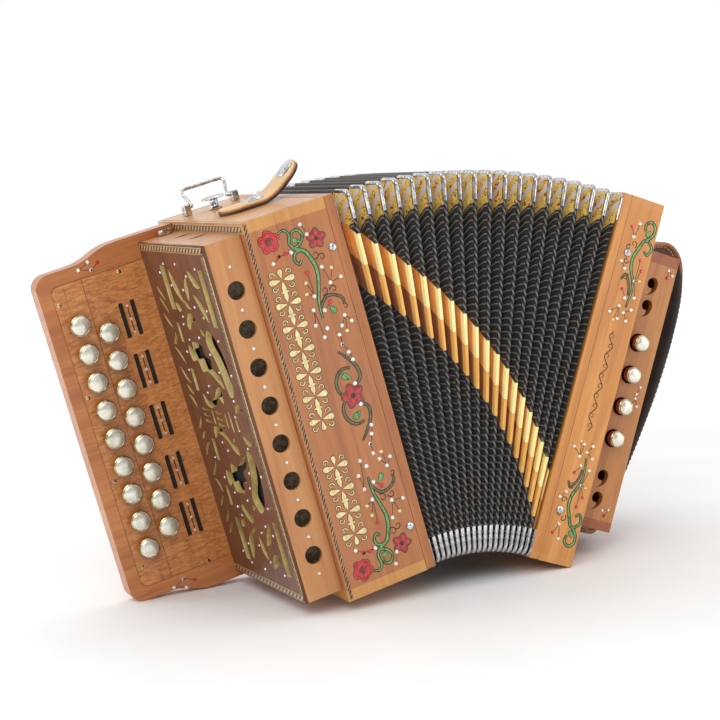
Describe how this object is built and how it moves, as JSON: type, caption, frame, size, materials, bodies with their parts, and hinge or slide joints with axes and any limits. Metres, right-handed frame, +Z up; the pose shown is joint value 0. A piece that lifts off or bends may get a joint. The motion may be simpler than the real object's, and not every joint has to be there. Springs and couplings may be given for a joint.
{
  "type": "diatonic button accordion",
  "caption": "Small two-row button accordion: wooden treble case with fingerboard and fretwork grille, fanned bellows, bass case with hand strap.",
  "frame": {"origin": "centre of the footprint on the surface the instrument stands on, half open", "axes": "+X from the treble side to the bass side, +Y from the front to the back, +Z up"},
  "size_m": [0.4902, 0.179, 0.3152],
  "materials": {
    "cherry_wood": "satin lacquer",
    "light_wood": "satin lacquer",
    "board_wood": "satin lacquer",
    "grille_wood": "satin",
    "reed_wood": "bare",
    "bellows_cloth": "woven, matt",
    "pearl": "polished",
    "strap_leather": "smooth",
    "pad_cloth": "matt",
    "chrome_fittings": "polished"
  },
  "bodies": {
    "treble_side": {"treble_case": "cherry_wood", "treble_bellows_frame": "light_wood", "treble_reed_block": "reed_wood", "sound_box": "cherry_wood", "fretwork_grille": "grille_wood", "fingerboard": "cherry_wood", "fingerboard_outer_plate": "board_wood", "fingerboard_inner_plate": "board_wood", "bail_bracket_outer": "chrome_fittings", "bail_bracket_inner": "chrome_fittings", "strap_stud": "chrome_fittings"},
    "fold_01": {"fold_01": "bellows_cloth"},
    "fold_02": {"fold_02": "bellows_cloth"},
    "fold_03": {"fold_03": "bellows_cloth"},
    "fold_04": {"fold_04": "bellows_cloth"},
    "fold_05": {"fold_05": "bellows_cloth"},
    "fold_06": {"fold_06": "bellows_cloth"},
    "fold_07": {"fold_07": "bellows_cloth"},
    "fold_08": {"fold_08": "bellows_cloth"},
    "fold_09": {"fold_09": "bellows_cloth"},
    "fold_10": {"fold_10": "bellows_cloth"},
    "fold_11": {"fold_11": "bellows_cloth"},
    "fold_12": {"fold_12": "bellows_cloth"},
    "fold_13": {"fold_13": "bellows_cloth"},
    "fold_14": {"fold_14": "bellows_cloth"},
    "fold_15": {"fold_15": "bellows_cloth"},
    "fold_16": {"fold_16": "bellows_cloth"},
    "fold_17": {"fold_17": "bellows_cloth"},
    "fold_18": {"fold_18": "bellows_cloth"},
    "bass_side": {"bass_bellows_frame": "light_wood", "bass_case": "light_wood", "bass_reed_block": "reed_wood", "bass_box": "light_wood", "hand_strap": "strap_leather", "hand_strap_pad": "pad_cloth"},
    "treble_button_01": {"treble_button_01": "pearl"},
    "treble_button_02": {"treble_button_02": "pearl"},
    "treble_button_03": {"treble_button_03": "pearl"},
    "treble_button_04": {"treble_button_04": "pearl"},
    "treble_button_05": {"treble_button_05": "pearl"},
    "treble_button_06": {"treble_button_06": "pearl"},
    "treble_button_07": {"treble_button_07": "pearl"},
    "treble_button_08": {"treble_button_08": "pearl"},
    "treble_button_09": {"treble_button_09": "pearl"},
    "treble_button_10": {"treble_button_10": "pearl"},
    "treble_button_11": {"treble_button_11": "pearl"},
    "treble_button_12": {"treble_button_12": "pearl"},
    "treble_button_13": {"treble_button_13": "pearl"},
    "treble_button_14": {"treble_button_14": "pearl"},
    "treble_button_15": {"treble_button_15": "pearl"},
    "treble_button_16": {"treble_button_16": "pearl"},
    "treble_button_17": {"treble_button_17": "pearl"},
    "bass_button_1": {"bass_button_1": "pearl"},
    "bass_button_2": {"bass_button_2": "pearl"},
    "bass_button_3": {"bass_button_3": "pearl"},
    "bass_button_4": {"bass_button_4": "pearl"},
    "air_button": {"air_button": "pearl"},
    "register_slider": {"register_slider": "chrome_fittings"},
    "strap_bail": {"strap_bail": "chrome_fittings"},
    "bellows_strap": {"bellows_strap": "strap_leather"}
  },
  "joints": [
    {"name": "bellows_hinge_01", "type": "hinge", "parent": "treble_side", "child": "fold_01", "pos_m": [-0.01598, 0, 0.02114], "axis": [0, 1, 0], "range_deg": [-1.74, 1.74]},
    {"name": "bellows_hinge_02", "type": "hinge", "parent": "fold_01", "child": "fold_02", "pos_m": [-0.01201, 0, 0.02178], "axis": [0, 1, 0], "range_deg": [-1.74, 1.74]},
    {"name": "bellows_hinge_03", "type": "hinge", "parent": "fold_02", "child": "fold_03", "pos_m": [-0.00803, 0, 0.0223], "axis": [0, 1, 0], "range_deg": [-1.74, 1.74]},
    {"name": "bellows_hinge_04", "type": "hinge", "parent": "fold_03", "child": "fold_04", "pos_m": [-0.00402, 0, 0.0227], "axis": [0, 1, 0], "range_deg": [-1.74, 1.74]},
    {"name": "bellows_hinge_05", "type": "hinge", "parent": "fold_04", "child": "fold_05", "pos_m": [-0.00002, 0, 0.02298], "axis": [0, 1, 0], "range_deg": [-1.74, 1.74]},
    {"name": "bellows_hinge_06", "type": "hinge", "parent": "fold_05", "child": "fold_06", "pos_m": [0.004, 0, 0.02313], "axis": [0, 1, 0], "range_deg": [-1.74, 1.74]},
    {"name": "bellows_hinge_07", "type": "hinge", "parent": "fold_06", "child": "fold_07", "pos_m": [0.00802, 0, 0.02317], "axis": [0, 1, 0], "range_deg": [-1.74, 1.74]},
    {"name": "bellows_hinge_08", "type": "hinge", "parent": "fold_07", "child": "fold_08", "pos_m": [0.01204, 0, 0.02308], "axis": [0, 1, 0], "range_deg": [-1.74, 1.74]},
    {"name": "bellows_hinge_09", "type": "hinge", "parent": "fold_08", "child": "fold_09", "pos_m": [0.01606, 0, 0.02287], "axis": [0, 1, 0], "range_deg": [-1.74, 1.74]},
    {"name": "bellows_hinge_10", "type": "hinge", "parent": "fold_09", "child": "fold_10", "pos_m": [0.02006, 0, 0.02253], "axis": [0, 1, 0], "range_deg": [-1.74, 1.74]},
    {"name": "bellows_hinge_11", "type": "hinge", "parent": "fold_10", "child": "fold_11", "pos_m": [0.02406, 0, 0.02208], "axis": [0, 1, 0], "range_deg": [-1.74, 1.74]},
    {"name": "bellows_hinge_12", "type": "hinge", "parent": "fold_11", "child": "fold_12", "pos_m": [0.02804, 0, 0.0215], "axis": [0, 1, 0], "range_deg": [-1.74, 1.74]},
    {"name": "bellows_hinge_13", "type": "hinge", "parent": "fold_12", "child": "fold_13", "pos_m": [0.03199, 0, 0.02081], "axis": [0, 1, 0], "range_deg": [-1.74, 1.74]},
    {"name": "bellows_hinge_14", "type": "hinge", "parent": "fold_13", "child": "fold_14", "pos_m": [0.03593, 0, 0.01999], "axis": [0, 1, 0], "range_deg": [-1.74, 1.74]},
    {"name": "bellows_hinge_15", "type": "hinge", "parent": "fold_14", "child": "fold_15", "pos_m": [0.03984, 0, 0.01905], "axis": [0, 1, 0], "range_deg": [-1.74, 1.74]},
    {"name": "bellows_hinge_16", "type": "hinge", "parent": "fold_15", "child": "fold_16", "pos_m": [0.04372, 0, 0.018], "axis": [0, 1, 0], "range_deg": [-1.74, 1.74]},
    {"name": "bellows_hinge_17", "type": "hinge", "parent": "fold_16", "child": "fold_17", "pos_m": [0.04757, 0, 0.01683], "axis": [0, 1, 0], "range_deg": [-1.74, 1.74]},
    {"name": "bellows_hinge_18", "type": "hinge", "parent": "fold_17", "child": "fold_18", "pos_m": [0.05137, 0, 0.01554], "axis": [0, 1, 0], "range_deg": [-1.74, 1.74]},
    {"name": "bellows_hinge_19", "type": "hinge", "parent": "fold_18", "child": "bass_side", "pos_m": [0.05514, 0, 0.01414], "axis": [0, 1, 0], "range_deg": [-1.74, 1.74]},
    {"name": "treble_button_01_press", "type": "slide", "parent": "treble_side", "child": "treble_button_01", "axis": [0, 1, 0], "range_m": [0, 0.0035], "stiffness_N_per_m": 150, "springref_m": -0.003},
    {"name": "treble_button_02_press", "type": "slide", "parent": "treble_side", "child": "treble_button_02", "axis": [0, 1, 0], "range_m": [0, 0.0035], "stiffness_N_per_m": 150, "springref_m": -0.003},
    {"name": "treble_button_03_press", "type": "slide", "parent": "treble_side", "child": "treble_button_03", "axis": [0, 1, 0], "range_m": [0, 0.0035], "stiffness_N_per_m": 150, "springref_m": -0.003},
    {"name": "treble_button_04_press", "type": "slide", "parent": "treble_side", "child": "treble_button_04", "axis": [0, 1, 0], "range_m": [0, 0.0035], "stiffness_N_per_m": 150, "springref_m": -0.003},
    {"name": "treble_button_05_press", "type": "slide", "parent": "treble_side", "child": "treble_button_05", "axis": [0, 1, 0], "range_m": [0, 0.0035], "stiffness_N_per_m": 150, "springref_m": -0.003},
    {"name": "treble_button_06_press", "type": "slide", "parent": "treble_side", "child": "treble_button_06", "axis": [0, 1, 0], "range_m": [0, 0.0035], "stiffness_N_per_m": 150, "springref_m": -0.003},
    {"name": "treble_button_07_press", "type": "slide", "parent": "treble_side", "child": "treble_button_07", "axis": [0, 1, 0], "range_m": [0, 0.0035], "stiffness_N_per_m": 150, "springref_m": -0.003},
    {"name": "treble_button_08_press", "type": "slide", "parent": "treble_side", "child": "treble_button_08", "axis": [0, 1, 0], "range_m": [0, 0.0035], "stiffness_N_per_m": 150, "springref_m": -0.003},
    {"name": "treble_button_09_press", "type": "slide", "parent": "treble_side", "child": "treble_button_09", "axis": [0, 1, 0], "range_m": [0, 0.0035], "stiffness_N_per_m": 150, "springref_m": -0.003},
    {"name": "treble_button_10_press", "type": "slide", "parent": "treble_side", "child": "treble_button_10", "axis": [0, 1, 0], "range_m": [0, 0.0035], "stiffness_N_per_m": 150, "springref_m": -0.003},
    {"name": "treble_button_11_press", "type": "slide", "parent": "treble_side", "child": "treble_button_11", "axis": [0, 1, 0], "range_m": [0, 0.0035], "stiffness_N_per_m": 150, "springref_m": -0.003},
    {"name": "treble_button_12_press", "type": "slide", "parent": "treble_side", "child": "treble_button_12", "axis": [0, 1, 0], "range_m": [0, 0.0035], "stiffness_N_per_m": 150, "springref_m": -0.003},
    {"name": "treble_button_13_press", "type": "slide", "parent": "treble_side", "child": "treble_button_13", "axis": [0, 1, 0], "range_m": [0, 0.0035], "stiffness_N_per_m": 150, "springref_m": -0.003},
    {"name": "treble_button_14_press", "type": "slide", "parent": "treble_side", "child": "treble_button_14", "axis": [0, 1, 0], "range_m": [0, 0.0035], "stiffness_N_per_m": 150, "springref_m": -0.003},
    {"name": "treble_button_15_press", "type": "slide", "parent": "treble_side", "child": "treble_button_15", "axis": [0, 1, 0], "range_m": [0, 0.0035], "stiffness_N_per_m": 150, "springref_m": -0.003},
    {"name": "treble_button_16_press", "type": "slide", "parent": "treble_side", "child": "treble_button_16", "axis": [0, 1, 0], "range_m": [0, 0.0035], "stiffness_N_per_m": 150, "springref_m": -0.003},
    {"name": "treble_button_17_press", "type": "slide", "parent": "treble_side", "child": "treble_button_17", "axis": [0, 1, 0], "range_m": [0, 0.0035], "stiffness_N_per_m": 150, "springref_m": -0.003},
    {"name": "bass_button_1_press", "type": "slide", "parent": "bass_side", "child": "bass_button_1", "axis": [0, 1, 0], "range_m": [0, 0.005], "stiffness_N_per_m": 150, "springref_m": -0.003},
    {"name": "bass_button_2_press", "type": "slide", "parent": "bass_side", "child": "bass_button_2", "axis": [0, 1, 0], "range_m": [0, 0.005], "stiffness_N_per_m": 150, "springref_m": -0.003},
    {"name": "bass_button_3_press", "type": "slide", "parent": "bass_side", "child": "bass_button_3", "axis": [0, 1, 0], "range_m": [0, 0.005], "stiffness_N_per_m": 150, "springref_m": -0.003},
    {"name": "bass_button_4_press", "type": "slide", "parent": "bass_side", "child": "bass_button_4", "axis": [0, 1, 0], "range_m": [0, 0.005], "stiffness_N_per_m": 150, "springref_m": -0.003},
    {"name": "air_button_press", "type": "slide", "parent": "bass_side", "child": "air_button", "axis": [0, -1, 0], "range_m": [0, 0.0035], "stiffness_N_per_m": 250, "springref_m": -0.003},
    {"name": "register_slide", "type": "slide", "parent": "treble_side", "child": "register_slider", "axis": [0.9819, 0, 0.1894], "range_m": [-0.004, 0.0028]},
    {"name": "strap_bail_hinge", "type": "hinge", "parent": "treble_side", "child": "strap_bail", "pos_m": [-0.10593, 0.0605, 0.28948], "axis": [0.9819, 0, 0.1894], "range_deg": [-65, 90]},
    {"name": "bellows_strap_swivel", "type": "hinge", "parent": "treble_side", "child": "bellows_strap", "pos_m": [-0.10557, -0.0145, 0.28497], "axis": [-0.1894, 0, 0.9819], "range_deg": [-60, 60]}
  ],
  "couplings": [
    {"joint": "bellows_hinge_02", "follows": "bellows_hinge_01", "ratio": 1},
    {"joint": "bellows_hinge_03", "follows": "bellows_hinge_01", "ratio": 1},
    {"joint": "bellows_hinge_04", "follows": "bellows_hinge_01", "ratio": 1},
    {"joint": "bellows_hinge_05", "follows": "bellows_hinge_01", "ratio": 1},
    {"joint": "bellows_hinge_06", "follows": "bellows_hinge_01", "ratio": 1},
    {"joint": "bellows_hinge_07", "follows": "bellows_hinge_01", "ratio": 1},
    {"joint": "bellows_hinge_08", "follows": "bellows_hinge_01", "ratio": 1},
    {"joint": "bellows_hinge_09", "follows": "bellows_hinge_01", "ratio": 1},
    {"joint": "bellows_hinge_10", "follows": "bellows_hinge_01", "ratio": 1},
    {"joint": "bellows_hinge_11", "follows": "bellows_hinge_01", "ratio": 1},
    {"joint": "bellows_hinge_12", "follows": "bellows_hinge_01", "ratio": 1},
    {"joint": "bellows_hinge_13", "follows": "bellows_hinge_01", "ratio": 1},
    {"joint": "bellows_hinge_14", "follows": "bellows_hinge_01", "ratio": 1},
    {"joint": "bellows_hinge_15", "follows": "bellows_hinge_01", "ratio": 1},
    {"joint": "bellows_hinge_16", "follows": "bellows_hinge_01", "ratio": 1},
    {"joint": "bellows_hinge_17", "follows": "bellows_hinge_01", "ratio": 1},
    {"joint": "bellows_hinge_18", "follows": "bellows_hinge_01", "ratio": 1},
    {"joint": "bellows_hinge_19", "follows": "bellows_hinge_01", "ratio": 1}
  ]
}
